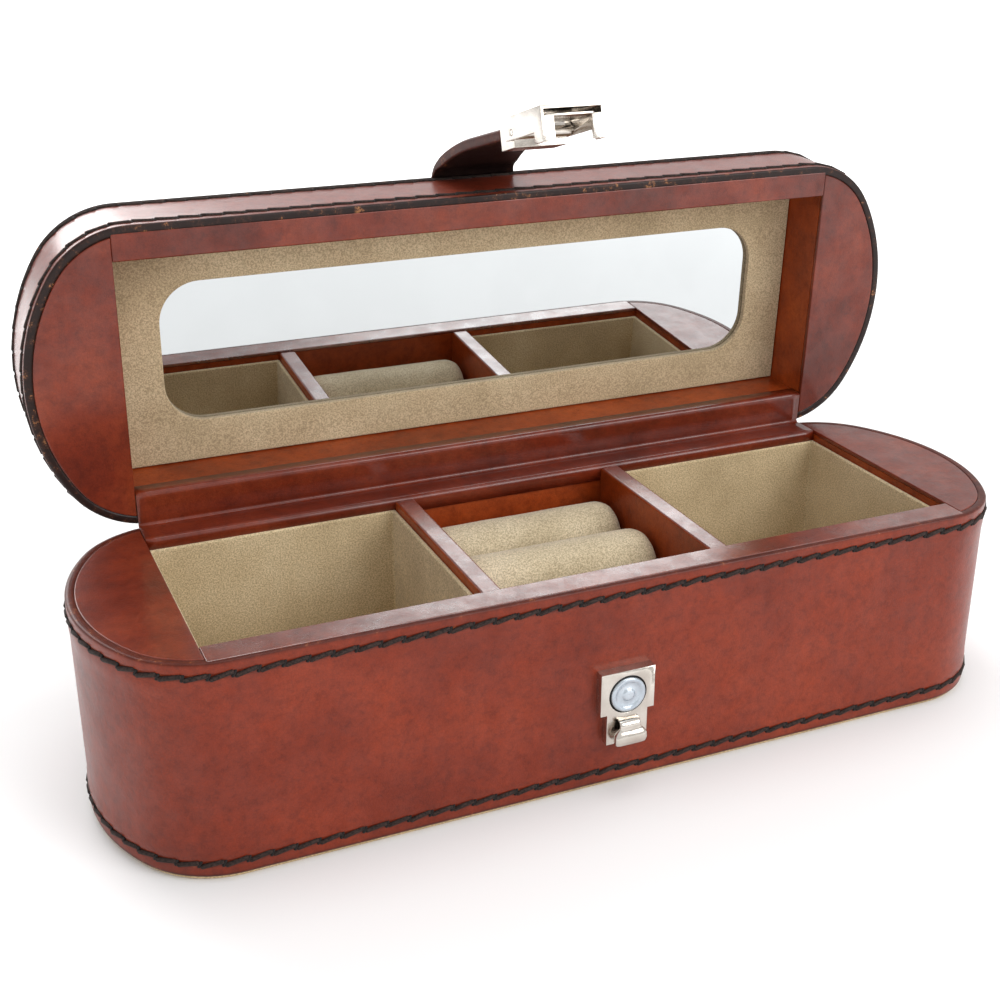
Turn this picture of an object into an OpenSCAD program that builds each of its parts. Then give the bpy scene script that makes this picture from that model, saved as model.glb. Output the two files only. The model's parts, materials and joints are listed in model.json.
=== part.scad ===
// Leather jewellery case with a hinged mirror lid, ring rolls and a strap clasp.
// The case stands on the XY plane with its front towards -Y. The origin is the
// centre of its underside. The lid is drawn standing open.

/* [Case] */
// Length of the case over its rounded ends
case_length = 250; // [240:1:270]
// Width of the case, front to back
case_width = 79; // [76:1:84]
// Height of the base, from the table to its rim
base_height = 56.5; // [52:0.5:64]
// Depth of the lid, from its rim to its top
lid_depth = 22.8; // [22:0.2:26]
// Angle that the lid stands open, from closed
open_angle = 87; // [60:1:100]
// Radius of the wide curve of each end
crown_r = 53; // [48:1:60]
// Radius of the four corners
corner_r = 24; // [20:1:28]

/* [Well] */
// Length of the rectangular well
well_length = 202.4; // [196:0.2:206]
// Width of the rectangular well
well_width = 61.5; // [58:0.5:63]
// Width of the middle compartment
middle_width = 56.9; // [54:0.1:64]
// Thickness of each divider with its leather
divider_t = 5.4; // [4.6:0.2:7]

/* [Leather] */
// Thickness of the outer wall leather
wall_t = 2.2; // [1.8:0.1:2.6]
// How far the stitched edges of the wall stand proud of its middle
proud = 0.5; // [0.3:0.1:0.8]
// Height of each stitched edge
edge_h = 8; // [6:0.5:10]
// Thickness of the leather on the rims
rim_t = 1.2; // [1:0.1:1.4]
// Thickness of the leather inside the well
facing_t = 0.8; // [0.6:0.1:1]
// Thickness of the suede linings on their card
suede_t = 1.2; // [1:0.1:1.6]

/* [Mirror] */
// Length of the rounded window in the mirror frame
window_length = 177; // [150:1:182]
// Width of the rounded window
window_width = 38.4; // [30:0.2:44]
// Corner radius of the window
window_r = 11; // [6:1:15]

/* [Strap] */
// Width of the strap where it leaves the lid
strap_w = 24; // [20:1:28]
// Thickness of the strap
strap_t = 3; // [2.4:0.2:3.2]
// Angle from upright of the straight end of the strap, measured with the lid shut
strap_lean = 18.5; // [16:0.5:21]

/* [Lock] */
// Width of the upper part of the lock plate
lock_w = 14.8; // [13:0.2:15.4]
// Height of the top of the lock plate above the table
lock_top = 33.6; // [32:0.2:34]
// Diameter of the rivet in the lock plate
rivet_d = 10.2; // [8:0.2:11]

/* [Hidden] */
$fn = 96;
over = 1;
joint_gap = 0.3;
half_l = case_length / 2;
half_w = case_width / 2;

// The outline of the case: two straight sides, four corners and two crowned ends. Each
// corner stands out from the crown by a hair, so that the two curves cross cleanly.
corner_cross = 0.1;
crown_x = half_l - crown_r;
corner_y = half_w - corner_r;
corner_x = crown_x + sqrt(pow(crown_r - corner_r + corner_cross, 2) - pow(corner_y, 2));
crown_angle = atan2(corner_y, corner_x - crown_x);

// Levels of the base, from the table up.
sole_t = 1.2;
board_t = 3.2;
board_z = sole_t;
floor_z = board_z + board_t;
core_top = base_height - rim_t;
lining_top = base_height - 3;
divider_top = base_height - 0.6;

// The well and its compartments.
well_x = well_length / 2;
well_y = well_width / 2;
middle_x = middle_width / 2;
divider_x = middle_x + divider_t;

// The hinge line runs along X at the back edge of the rim.
hinge_y = half_w;
hinge_z = base_height + joint_gap / 2;
lid_rim = hinge_z + joint_gap / 2;
lid_top_z = lid_rim + lid_depth;
lid_leather_t = 1.6;
lid_board_t = 1.8;
lid_board_z = lid_top_z - lid_leather_t - lid_board_t;
mirror_t = 1.5;
frame_t = 1.8;
frame_z = lid_board_z - mirror_t - frame_t;

// Ring rolls, from front to back.
roll_r = 10;
roll_pitch = 20.4;
roll_length = 55.6;
roll_end_r = 4;
roll_z = base_height - 16.4;

// The strap leaves the lid wall just under the top leather, with the lid shut.
strap_root_t = 1.2;
strap_root_y = -half_w - joint_gap;
strap_root_z = lid_top_z - lid_leather_t - strap_root_t / 2;
strap_root_depth = 18;
root_lean = 80;
bend_lean = 38;
bend_s = 3.5;
sweep_s = 20;
strap_s = 40;
strap_step = 1;
strap_end_w = 14;
strap_tail = 6.5;

// The clasp is drawn upright, about the point where the strap enters its clamp.
clamp_w = 14.2;
clamp_h = 8.2;
sheet_t = 0.8;
clamp_outer = strap_t / 2 + sheet_t;
clamp_inner = 4;
pin_d = 1.6;
pin_fit = 0.1;
pin_y = 0.5;
pin_z = -9.4;
knuckle_r = 1.8;
cap_w = 16.4;
cap_outer = clamp_outer + joint_gap + sheet_t;
cap_end = -27;
cap_depth = 2.2;
tip_depth = 4.8;
tip_h = 4.5;
lip_w = 2.5;

// The lock on the front of the base.
lock_out = 3;
lock_lower_w = 11.2;
lock_shoulder = lock_top - 11.6;
lock_bottom = lock_top - 20;
rivet_z = lock_top - 6.6;
hook_w = 9;
hook_r = 2.6;
hook_z = lock_bottom + 2.8;

tan_leather = "sienna";
dark_leather = "saddlebrown";
suede = "tan";
nickel = "silver";
board = "burlywood";

// ---- shared shapes ----

// The case outline, drawn in from the outside by inset. The wide curve of each end is
// cut off where its corners take over.
module case_outline(inset = 0) {
    band_y = (crown_r - inset) * sin(crown_angle);
    square([2 * corner_x, case_width - 2 * inset], center = true);
    for (side = [-1, 1]) {
        for (face = [-1, 1])
            translate([side * corner_x, face * corner_y])
                circle(r = corner_r - inset);
        intersection() {
            translate([side * crown_x, 0])
                circle(r = crown_r - inset);
            translate([side * (corner_x + crown_r / 2), 0])
                square([crown_r, 2 * band_y], center = true);
        }
    }
}

module plate(z, t, inset = 0) {
    translate([0, 0, z])
        linear_extrude(t)
            case_outline(inset);
}

// A box from two opposite corners.
module block(low, high) {
    translate(low)
        cube(high - low);
}

// The part of a plate inside the wall leather that lies beyond the well at one end.
module end_part(side, z, t) {
    edge = well_x + facing_t;
    intersection() {
        plate(z, t, wall_t);
        block([side > 0 ? edge : -half_l, -half_w, z - over],
              [side > 0 ? half_l : -edge, half_w, z + t + over]);
    }
}

// The part of a plate inside the wall leather that lies in front of or behind the well.
module side_part(face, z, t) {
    edge = well_y + facing_t;
    reach = well_x + facing_t;
    intersection() {
        plate(z, t, wall_t);
        block([-reach, face > 0 ? edge : -half_w, z - over],
              [reach, face > 0 ? half_w : -edge, z + t + over]);
    }
}

// A rim leather beyond one end of the well.
module rim_end(side, z) {
    intersection() {
        plate(z, rim_t, wall_t);
        block([side > 0 ? well_x : -half_l, -half_w, z - over],
              [side > 0 ? half_l : -well_x, half_w, z + rim_t + over]);
    }
}

module rim_front(z) {
    intersection() {
        plate(z, rim_t, wall_t);
        block([-well_x, -half_w, z - over], [well_x, -well_y, z + rim_t + over]);
    }
}

// The hinge leather on the back rim, which reaches to the hinge line.
module rim_back(z) {
    intersection() {
        plate(z, rim_t);
        block([-well_x, well_y, z - over], [well_x, hinge_y - joint_gap, z + rim_t + over]);
    }
}

// Outer wall with a proud band along its lower and its upper edge, cut down at the back
// where the hinge leather crosses it.
module outer_wall(z, h, cut_z) {
    difference() {
        union() {
            plate(z, h, proud);
            plate(z, edge_h);
            plate(z + h - edge_h, edge_h);
        }
        plate(z - over, h + 2 * over, wall_t);
        block([-well_x, half_w / 2, cut_z], [well_x, half_w + over, cut_z + rim_t]);
    }
}

// A frame of four thin walls that lines a box, with no floor.
module box_frame(low, high, t) {
    difference() {
        block(low, high);
        block([low[0] + t, low[1] + t, low[2] - over],
              [high[0] - t, high[1] - t, high[2] + over]);
    }
}

// ---- base ----

module base_sole() {
    color(suede)
        plate(0, sole_t, 0.8);
}

module base_board() {
    color(board)
        plate(board_z, board_t, wall_t);
}

module base_wall() {
    color(tan_leather)
        outer_wall(board_z, base_height - board_z, base_height - rim_t);
}

module front_core() {
    color(board)
        side_part(-1, floor_z, core_top - floor_z);
}

module back_core() {
    color(board)
        side_part(1, floor_z, core_top - floor_z);
}

module left_end_core() {
    color(board)
        end_part(-1, floor_z, core_top - floor_z);
}

module right_end_core() {
    color(board)
        end_part(1, floor_z, core_top - floor_z);
}

module left_end_leather() {
    color(tan_leather)
        rim_end(-1, core_top);
}

module right_end_leather() {
    color(tan_leather)
        rim_end(1, core_top);
}

module front_rim_leather() {
    color(tan_leather)
        rim_front(core_top);
}

module base_hinge_leather() {
    color(tan_leather)
        rim_back(core_top);
}

module well_facing() {
    color(dark_leather)
        box_frame([-well_x - facing_t, -well_y - facing_t, floor_z],
                  [well_x + facing_t, well_y + facing_t, core_top], facing_t);
}

// Suede floor and walls of an outer compartment.
module outer_lining(side) {
    x0 = side > 0 ? divider_x : -well_x;
    x1 = side > 0 ? well_x : -divider_x;
    box_frame([x0, -well_y, floor_z], [x1, well_y, lining_top], suede_t);
    block([x0, -well_y, floor_z], [x1, well_y, floor_z + suede_t]);
}

module left_lining() {
    color(suede)
        outer_lining(-1);
}

module right_lining() {
    color(suede)
        outer_lining(1);
}

module middle_floor() {
    color(suede)
        block([-middle_x, -well_y, floor_z], [middle_x, well_y, floor_z + suede_t]);
}

module divider_board(side) {
    centre = side * (middle_x + divider_t / 2);
    half = divider_t / 2 - facing_t;
    block([centre - half, -well_y, floor_z], [centre + half, well_y, divider_top - facing_t]);
}

// Leather folded over the top of a divider and down both faces.
module divider_leather(side) {
    centre = side * (middle_x + divider_t / 2);
    half = divider_t / 2;
    difference() {
        block([centre - half, -well_y, floor_z], [centre + half, well_y, divider_top]);
        block([centre - half + facing_t, -well_y - over, floor_z - over],
              [centre + half - facing_t, well_y + over, divider_top - facing_t]);
    }
}

module left_divider_board() {
    color(board)
        divider_board(-1);
}

module right_divider_board() {
    color(board)
        divider_board(1);
}

module left_divider_leather() {
    color(dark_leather)
        divider_leather(-1);
}

module right_divider_leather() {
    color(dark_leather)
        divider_leather(1);
}

module ring_roll_bed() {
    clear = 0.2;
    color(suede)
        block([-middle_x + clear, -well_y + clear, floor_z + suede_t],
              [middle_x - clear, well_y - clear, roll_z - roll_r]);
}

// A padded roll that lies along X, with rounded ends.
module ring_roll(row) {
    straight = roll_length / 2 - roll_end_r;
    translate([0, row * roll_pitch, roll_z])
        rotate([0, 90, 0])
            rotate_extrude() {
                translate([0, -straight])
                    square([roll_r, 2 * straight]);
                for (end = [-1, 1]) {
                    translate([0, end > 0 ? 0 : -roll_length / 2])
                        square([roll_r - roll_end_r, roll_length / 2]);
                    intersection() {
                        translate([roll_r - roll_end_r, end * straight])
                            circle(r = roll_end_r);
                        translate([0, -roll_length / 2])
                            square([roll_r, roll_length]);
                    }
                }
            }
}

module ring_roll_front() {
    color(suede)
        ring_roll(-1);
}

module ring_roll_middle() {
    color(suede)
        ring_roll(0);
}

module ring_roll_back() {
    color(suede)
        ring_roll(1);
}

// ---- lock on the front wall ----

module lock_plate() {
    face_y = -half_w + proud;
    color(nickel)
        difference() {
            union() {
                block([-lock_w / 2, face_y - lock_out, lock_shoulder],
                      [lock_w / 2, face_y, lock_top]);
                block([-lock_lower_w / 2, face_y - lock_out, lock_bottom],
                      [lock_lower_w / 2, face_y, lock_top]);
            }
            translate([0, face_y + over, rivet_z])
                rotate([90, 0, 0])
                    cylinder(h = lock_out + 2 * over, d = rivet_d);
        }
}

// The rivet fills its hole and has a ring, a dish and a small raised centre.
module lock_rivet() {
    dish_r = 3.4;
    button_r = 1.7;
    color("lightsteelblue")
        translate([0, -half_w + proud, rivet_z])
            rotate([90, 0, 0])
                difference() {
                    union() {
                        cylinder(h = lock_out, d = rivet_d);
                        cylinder(h = lock_out + 0.7, r1 = rivet_d / 2 - 0.3,
                                 r2 = rivet_d / 2 - 1);
                    }
                    translate([0, 0, lock_out + 0.1])
                        difference() {
                            cylinder(h = over, r = dish_r);
                            translate([0, 0, -over])
                                cylinder(h = 2 * over, r = button_r);
                        }
                }
}

// A hook bent out of the lower part of the plate, with a rounded nose.
module lock_hook() {
    face_y = -half_w + proud - lock_out;
    color(nickel)
        difference() {
            union() {
                translate([-hook_w / 2, face_y, hook_z])
                    rotate([0, 90, 0])
                        cylinder(h = hook_w, r = hook_r);
                block([-hook_w / 2, face_y - hook_r, hook_z - hook_r],
                      [hook_w / 2, face_y, hook_z]);
            }
            block([-hook_w / 2 - over, face_y, hook_z - hook_r - over],
                  [hook_w / 2 + over, face_y + hook_r + over, hook_z + hook_r + over]);
            block([-hook_w / 2 - over, face_y - hook_r + sheet_t, hook_z - hook_r - over],
                  [hook_w / 2 + over, face_y + over, hook_z]);
        }
}

// ---- lid, drawn shut and then opened about the hinge line ----

module opened() {
    translate([0, hinge_y, hinge_z])
        rotate([-open_angle, 0, 0])
            translate([0, -hinge_y, -hinge_z])
                children();
}

lid_core_z = lid_rim + rim_t;
lid_core_h = lid_board_z - lid_core_z;

module strap_slot() {
    clear = 0.1;
    block([-strap_w / 2 - clear, -half_w - over, strap_root_z - strap_root_t / 2 - clear],
          [strap_w / 2 + clear, -half_w + strap_root_depth + clear,
           lid_top_z - lid_leather_t]);
}

module lid_wall() {
    color(tan_leather)
        opened()
            difference() {
                outer_wall(lid_rim, lid_depth - lid_leather_t, lid_rim);
                strap_slot();
            }
}

module lid_top_leather() {
    color(tan_leather)
        opened()
            plate(lid_top_z - lid_leather_t, lid_leather_t);
}

module lid_board() {
    color(board)
        opened()
            difference() {
                plate(lid_board_z, lid_board_t, wall_t);
                strap_slot();
            }
}

module lid_front_core() {
    color(board)
        opened()
            side_part(-1, lid_core_z, lid_core_h);
}

module lid_back_core() {
    color(board)
        opened()
            side_part(1, lid_core_z, lid_core_h);
}

module lid_left_core() {
    color(board)
        opened()
            end_part(-1, lid_core_z, lid_core_h);
}

module lid_right_core() {
    color(board)
        opened()
            end_part(1, lid_core_z, lid_core_h);
}

module lid_left_leather() {
    color(tan_leather)
        opened()
            rim_end(-1, lid_rim);
}

module lid_right_leather() {
    color(tan_leather)
        opened()
            rim_end(1, lid_rim);
}

module lid_rim_leather() {
    color(tan_leather)
        opened()
            rim_front(lid_rim);
}

module lid_hinge_leather() {
    color(tan_leather)
        opened()
            rim_back(lid_rim);
}

module lid_facing() {
    color(dark_leather)
        opened()
            box_frame([-well_x - facing_t, -well_y - facing_t, lid_core_z],
                      [well_x + facing_t, well_y + facing_t, lid_board_z], facing_t);
}

module mirror() {
    color("lightcyan")
        opened()
            block([-window_length / 2 - 8, -window_width / 2 - 8, frame_z + frame_t],
                  [window_length / 2 + 8, window_width / 2 + 8, lid_board_z]);
}

module window_outline() {
    straight_x = window_length / 2 - window_r;
    straight_y = window_width / 2 - window_r;
    square([window_length, 2 * straight_y], center = true);
    square([2 * straight_x, window_width], center = true);
    for (side = [-1, 1])
        for (face = [-1, 1])
            translate([side * straight_x, face * straight_y])
                circle(r = window_r);
}

module mirror_frame() {
    clear = 0.2;
    color(suede)
        opened()
            translate([0, 0, frame_z])
                linear_extrude(frame_t)
                    difference() {
                        square([well_length - 2 * clear, well_width - 2 * clear],
                               center = true);
                        window_outline();
                    }
}

// ---- strap ----

module strap_root() {
    color(dark_leather)
        opened()
            block([-strap_w / 2, -half_w, strap_root_z - strap_root_t / 2],
                  [strap_w / 2, -half_w + strap_root_depth,
                   strap_root_z + strap_root_t / 2]);
}

// Lean of the strap from upright at a length s from where it leaves the lid.
function lean(s) =
    s < bend_s ? root_lean + (bend_lean - root_lean) * s / bend_s :
    s < bend_s + sweep_s ? bend_lean + (strap_lean - bend_lean) * (s - bend_s) / sweep_s :
    strap_lean;

function thickness(s) = min(strap_t, strap_root_t + s / 4);

// Places along the middle of the strap, as [length, outwards, up].
centreline = [
    for (s = 0, out = 0, up = 0; s <= strap_s + strap_step / 2;
         out = out + strap_step * sin(lean(s)), up = up - strap_step * cos(lean(s)),
         s = s + strap_step)
        [s, out, up]
];
strap_end = centreline[len(centreline) - 1];
strap_end_y = strap_root_y - strap_end[1];
strap_end_z = strap_root_z + strap_end[2];

module strap_profile() {
    polygon([
        for (p = centreline)
            [p[1] + cos(lean(p[0])) * thickness(p[0]) / 2,
             p[2] + sin(lean(p[0])) * thickness(p[0]) / 2],
        for (i = [len(centreline) - 1 : -1 : 0])
            let (p = centreline[i])
                [p[1] - cos(lean(p[0])) * thickness(p[0]) / 2,
                 p[2] - sin(lean(p[0])) * thickness(p[0]) / 2]
    ]);
}

module strap_tongue() {
    low = strap_end[2] - strap_t;
    color(dark_leather)
        opened() {
            intersection() {
                translate([strap_w / 2, strap_root_y, strap_root_z])
                    rotate([90, 0, -90])
                        linear_extrude(strap_w)
                            strap_profile();
                translate([0, 0, strap_root_z])
                    rotate([90, 0, 0])
                        linear_extrude(case_width * 2)
                            polygon([[-strap_w / 2, strap_t], [strap_w / 2, strap_t],
                                     [strap_w / 2, 0], [strap_end_w / 2, low],
                                     [-strap_end_w / 2, low], [-strap_w / 2, 0]]);
            }
            at_strap_end()
                block([-clamp_w / 2 + sheet_t, -strap_t / 2, -strap_tail],
                      [clamp_w / 2 - sheet_t, strap_t / 2, strap_step]);
        }
}

// Places a clasp piece, drawn upright, on the end of the strap.
module at_strap_end() {
    translate([0, strap_end_y, strap_end_z])
        rotate([-strap_lean, 0, 0])
            children();
}

module across(y, z, r, w) {
    translate([-w / 2, y, z])
        rotate([0, 90, 0])
            cylinder(h = w, r = r);
}

// Folded clamp round the strap end, with a knuckle for the pin.
module strap_clamp() {
    color(nickel)
        opened()
            at_strap_end()
                difference() {
                    union() {
                        block([-clamp_w / 2, -clamp_outer, -clamp_h],
                              [clamp_w / 2, clamp_inner, 0]);
                        across(pin_y, pin_z, knuckle_r, clamp_w);
                    }
                    block([-clamp_w / 2 + sheet_t, -strap_t / 2, -strap_tail],
                          [clamp_w / 2 - sheet_t, strap_t / 2, over]);
                    across(pin_y, pin_z, pin_d / 2, clamp_w + 2 * over);
                }
}

module clasp_pin() {
    color(nickel)
        opened()
            at_strap_end()
                across(pin_y, pin_z, pin_d / 2, cap_w);
}

// Cap that swings on the pin: a web, two cheeks and two tips that turn in to catch.
module clasp_cap() {
    inner_x = cap_w / 2 - sheet_t;
    web_top = pin_z - 2.6;
    color(nickel)
        opened()
            at_strap_end()
                difference() {
                    union() {
                        block([-cap_w / 2, -cap_outer, cap_end],
                              [cap_w / 2, -cap_outer + sheet_t, web_top]);
                        for (side = [-1, 1]) {
                            x0 = side > 0 ? inner_x : -cap_w / 2;
                            block([x0, -cap_outer, cap_end],
                                  [x0 + sheet_t, cap_depth, pin_z]);
                            block([x0, -cap_outer, cap_end],
                                  [x0 + sheet_t, tip_depth, cap_end + tip_h]);
                            across_one(x0);
                            lip_x = side > 0 ? inner_x - lip_w : -cap_w / 2;
                            block([lip_x, -1, cap_end],
                                  [lip_x + lip_w + sheet_t, tip_depth, cap_end + sheet_t]);
                        }
                    }
                    across(pin_y, pin_z, (pin_d + pin_fit) / 2, cap_w + 2 * over);
                }
}

// Rounded upper end of a cheek, about the pin.
module across_one(x0) {
    translate([x0, 0, pin_z])
        intersection() {
            translate([0, pin_y, 0])
                rotate([0, 90, 0])
                    cylinder(h = sheet_t, r = cap_outer + pin_y);
            block([-over, -cap_outer, 0], [sheet_t + over, cap_depth, cap_outer + over]);
        }
}

// Flat spring inside the cap that bears on the hook of the lock.
module catch_spring() {
    spring_x = cap_w / 2 - sheet_t - 1.2;
    color(nickel)
        opened()
            at_strap_end() {
                block([-spring_x, -cap_outer + sheet_t, pin_z - 4.5],
                      [spring_x, -1.6, pin_z - 3]);
                block([-spring_x, -1.6, cap_end + 1.6], [spring_x, -1, pin_z - 3]);
            }
}

base_sole();
base_board();
base_wall();
front_core();
back_core();
left_end_core();
right_end_core();
left_end_leather();
right_end_leather();
front_rim_leather();
base_hinge_leather();
well_facing();
left_lining();
right_lining();
middle_floor();
left_divider_board();
right_divider_board();
left_divider_leather();
right_divider_leather();
ring_roll_bed();
ring_roll_front();
ring_roll_middle();
ring_roll_back();
lock_plate();
lock_rivet();
lock_hook();
lid_wall();
lid_top_leather();
lid_board();
lid_front_core();
lid_back_core();
lid_left_core();
lid_right_core();
lid_left_leather();
lid_right_leather();
lid_rim_leather();
lid_hinge_leather();
lid_facing();
mirror();
mirror_frame();
strap_root();
strap_tongue();
strap_clamp();
clasp_pin();
clasp_cap();
catch_spring();
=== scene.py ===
# %% [markdown]
# # A leather jewellery case
# A long case of bridle leather on a board carcass. A strap with a folding clasp closes it over
# a lock on its front. The lid holds a mirror in a suede frame, and the base holds two suede
# trays with three padded ring rolls between them. The frame is the imported model: the pieces
# are made in their place, in metres, and most ride on one of its bodies, but the hinge strip
# and the strap ride on none.

# %% The frame
import json
import math

import bmesh
import bpy
from mathutils import Matrix, Vector, noise


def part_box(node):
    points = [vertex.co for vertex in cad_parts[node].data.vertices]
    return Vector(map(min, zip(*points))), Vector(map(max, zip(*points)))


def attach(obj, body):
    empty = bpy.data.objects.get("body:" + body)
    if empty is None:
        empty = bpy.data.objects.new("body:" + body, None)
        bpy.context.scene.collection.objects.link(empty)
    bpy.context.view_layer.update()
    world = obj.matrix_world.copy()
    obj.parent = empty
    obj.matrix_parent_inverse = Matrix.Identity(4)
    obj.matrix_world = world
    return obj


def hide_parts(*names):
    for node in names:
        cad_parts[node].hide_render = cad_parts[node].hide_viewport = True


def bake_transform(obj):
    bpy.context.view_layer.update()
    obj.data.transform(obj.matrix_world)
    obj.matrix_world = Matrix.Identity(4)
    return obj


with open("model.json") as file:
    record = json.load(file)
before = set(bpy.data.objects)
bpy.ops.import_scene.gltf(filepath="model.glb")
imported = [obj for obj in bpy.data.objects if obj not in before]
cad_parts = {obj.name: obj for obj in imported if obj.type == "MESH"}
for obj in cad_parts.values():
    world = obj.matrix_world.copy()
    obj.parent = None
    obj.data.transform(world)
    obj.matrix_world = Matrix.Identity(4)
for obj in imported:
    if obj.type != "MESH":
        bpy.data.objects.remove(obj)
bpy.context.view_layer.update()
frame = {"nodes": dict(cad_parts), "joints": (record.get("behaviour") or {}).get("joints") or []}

MM = 0.001

# %% [markdown]
# ## Measures
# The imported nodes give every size. The lid is drawn shut, which is much easier to think about,
# and then turned open about the hinge line, so its rest pose is one rotation.

# %% Measures read from the frame
joints = {j["name"]: j for j in frame["joints"]}
hinge = Vector(joints["lid_hinge"]["pos_m"])
OPEN_ANGLE = math.radians(joints["lid_hinge"]["range_deg"][1])
opened = (Matrix.Translation(hinge) @ Matrix.Rotation(-OPEN_ANGLE, 4, "X")
          @ Matrix.Translation(-hinge))

wall_low, wall_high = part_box("base_wall")
HALF_L, HALF_W = wall_high.x, wall_high.y  # half the length and half the width
WALL_FOOT, RIM_Z = wall_low.z, wall_high.z
facing_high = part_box("well_facing")[1]
FACING_T = 0.8 * MM  # thickness of the well's leather facing
WELL_X, WELL_Y = facing_high.x - FACING_T, facing_high.y - FACING_T
RIM_T = RIM_Z - facing_high.z
WALL_T = HALF_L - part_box("base_board")[1].x
CROWN_R, CORNER_R = 53 * MM, 24 * MM  # radii of the wide end curve and of its corners
LID_RIM = hinge.z + 0.15 * MM  # the lid's rim, shut, stands clear of the hinge line
LID_DEPTH = 22.8 * MM
LID_TOP = LID_RIM + LID_DEPTH
print(f"case {2 * HALF_L / MM:.1f} x {2 * HALF_W / MM:.1f} mm, rim at {RIM_Z / MM:.1f} mm, "
      f"lid open {math.degrees(OPEN_ANGLE):.0f} degrees")

# %% [markdown]
# ## Camera
# The camera stands in front, to the left and above, so both wells and the mirror show.

# %% Camera
camera_data = bpy.data.cameras.new("camera")
camera_data.lens = 52.73
camera_data.sensor_width = 36
camera_data.clip_start = 0.01
camera = bpy.data.objects.new("camera", camera_data)
camera.location = (-0.15266, -0.31621, 0.21094)
aim = Vector((-0.01578, 0.00076, 0.06475))
camera.rotation_euler = (aim - camera.location).to_track_quat("-Z", "Y").to_euler()
scene = bpy.context.scene
scene.collection.objects.link(camera)
scene.camera = camera
scene.view_settings.view_transform = "Standard"

# %% [markdown]
# ## Finishes
# Every finish is a small tree of nodes, and so is the light round the case. A few helpers keep
# the trees short: one adds a node and joins its sockets, one starts a material, and one turns a
# painter's 0-255 colour into light.

# %% Helpers for finishes
def tint(red, green, blue):
    """A 0-255 screen colour as linear light."""
    def linear(c):
        c /= 255
        return c / 12.92 if c <= 0.04045 else ((c + 0.055) / 1.055) ** 2.4
    return (linear(red), linear(green), linear(blue), 1)


def add(tree, kind, inputs=None, **settings):
    """A node with its settings, and its inputs set to values or joined to sockets."""
    made = tree.nodes.new(kind)
    for key, value in settings.items():
        setattr(made, key, value)
    for key, value in (inputs or {}).items():
        if isinstance(value, bpy.types.NodeSocket):
            tree.links.new(value, made.inputs[key])
        else:
            made.inputs[key].default_value = value
    return made


def new_finish(name, **sockets):
    """A material with the given values, and its tree, its shader and its coordinates."""
    material = bpy.data.materials.new(name)
    material.use_nodes = True
    tree = material.node_tree
    shader = tree.nodes["Principled BSDF"]
    for key, value in sockets.items():
        shader.inputs[key.replace("_", " ")].default_value = value
    coords = add(tree, "ShaderNodeTexCoord").outputs["Object"]
    return material, tree, shader, coords


def ramp(tree, factor, *stops):
    """A colour ramp through (position, colour) stops."""
    made = add(tree, "ShaderNodeValToRGB", {"Fac": factor})
    points = made.color_ramp.elements
    while len(points) < len(stops):
        points.new(0.5)
    for point, (position, colour) in zip(points, stops):
        point.position, point.color = position, colour
    return made.outputs["Color"]


def blend_colour(tree, factor, first, second, mode="MIX"):
    """One colour laid over another by a factor."""
    made = add(tree, "ShaderNodeMix", data_type="RGBA", blend_type=mode)
    for socket, value in ((made.inputs[0], factor), (made.inputs[6], first),
                          (made.inputs[7], second)):
        if isinstance(value, bpy.types.NodeSocket):
            tree.links.new(value, socket)
        else:
            socket.default_value = value
    return made.outputs[2]


def remap(tree, value, low, high, to_low, to_high):
    """A number moved from one range to another, and kept inside it."""
    made = add(tree, "ShaderNodeMapRange", {"Value": value, "From Min": low, "From Max": high,
                                            "To Min": to_low, "To Max": to_high})
    return made.outputs["Result"]


def clouds(tree, coords, scale, detail=2.0, roughness=0.5):
    """A noise pattern's value."""
    made = add(tree, "ShaderNodeTexNoise", {"Vector": coords, "Scale": scale, "Detail": detail,
                                            "Roughness": roughness})
    return made.outputs["Fac"]


def combine(tree, operation, *values):
    """Numbers put together by one math node."""
    return add(tree, "ShaderNodeMath", dict(enumerate(values)), operation=operation).outputs[0]


def relief(tree, height, strength, distance, **under):
    """A bump made from a height, over the bump under it where one is given."""
    made = add(tree, "ShaderNodeBump", {"Height": height, "Strength": strength,
                                        "Distance": distance, **under})
    return made.outputs["Normal"]


def join(tree, shader, **sources):
    """Joins what was made to the shader's sockets."""
    for key, source in sources.items():
        tree.links.new(source, shader.inputs[key.replace("_", " ")])

# %% [markdown]
# ## Light
# A white surround and three big soft lamps, one in front, one behind and one overhead. Glazed
# leather shows its gloss by what it reflects, so the surround does as much as the lamps.

# %% Lamps and surround
def soft_lamp(name, spot, target, size, power):
    """A round lamp at a spot that faces a target."""
    data = bpy.data.lights.new(name, "AREA")
    data.shape = "DISK"
    data.size, data.energy = size, power
    lamp = bpy.data.objects.new(name, data)
    lamp.location = spot
    turn = (Vector(target) - Vector(spot)).to_track_quat("-Z", "Y")
    lamp.rotation_euler = turn.to_euler()
    scene.collection.objects.link(lamp)


soft_lamp("window_lamp", (0.6, -0.9, 0.72), (0, 0, 0.07), 0.8, 7.5)
soft_lamp("back_lamp", (-0.25, 1.1, 0.75), (0, 0, 0.08), 0.9, 8)
soft_lamp("overhead_lamp", (0.1, 0.1, 1.3), (0, 0, 0), 0.8, 3.5)
SURROUND = 0.8  # how bright the surround is to everything but the camera
world = bpy.data.worlds.new("surround")
world.use_nodes = True
backdrop = world.node_tree.nodes["Background"].inputs
backdrop["Color"].default_value = (1, 1, 1, 1)
scene.world = world
ray = add(world.node_tree, "ShaderNodeLightPath").outputs["Is Camera Ray"]
world.node_tree.links.new(remap(world.node_tree, ray, 0, 1, SURROUND, 1.0),
                          backdrop["Strength"])
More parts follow.
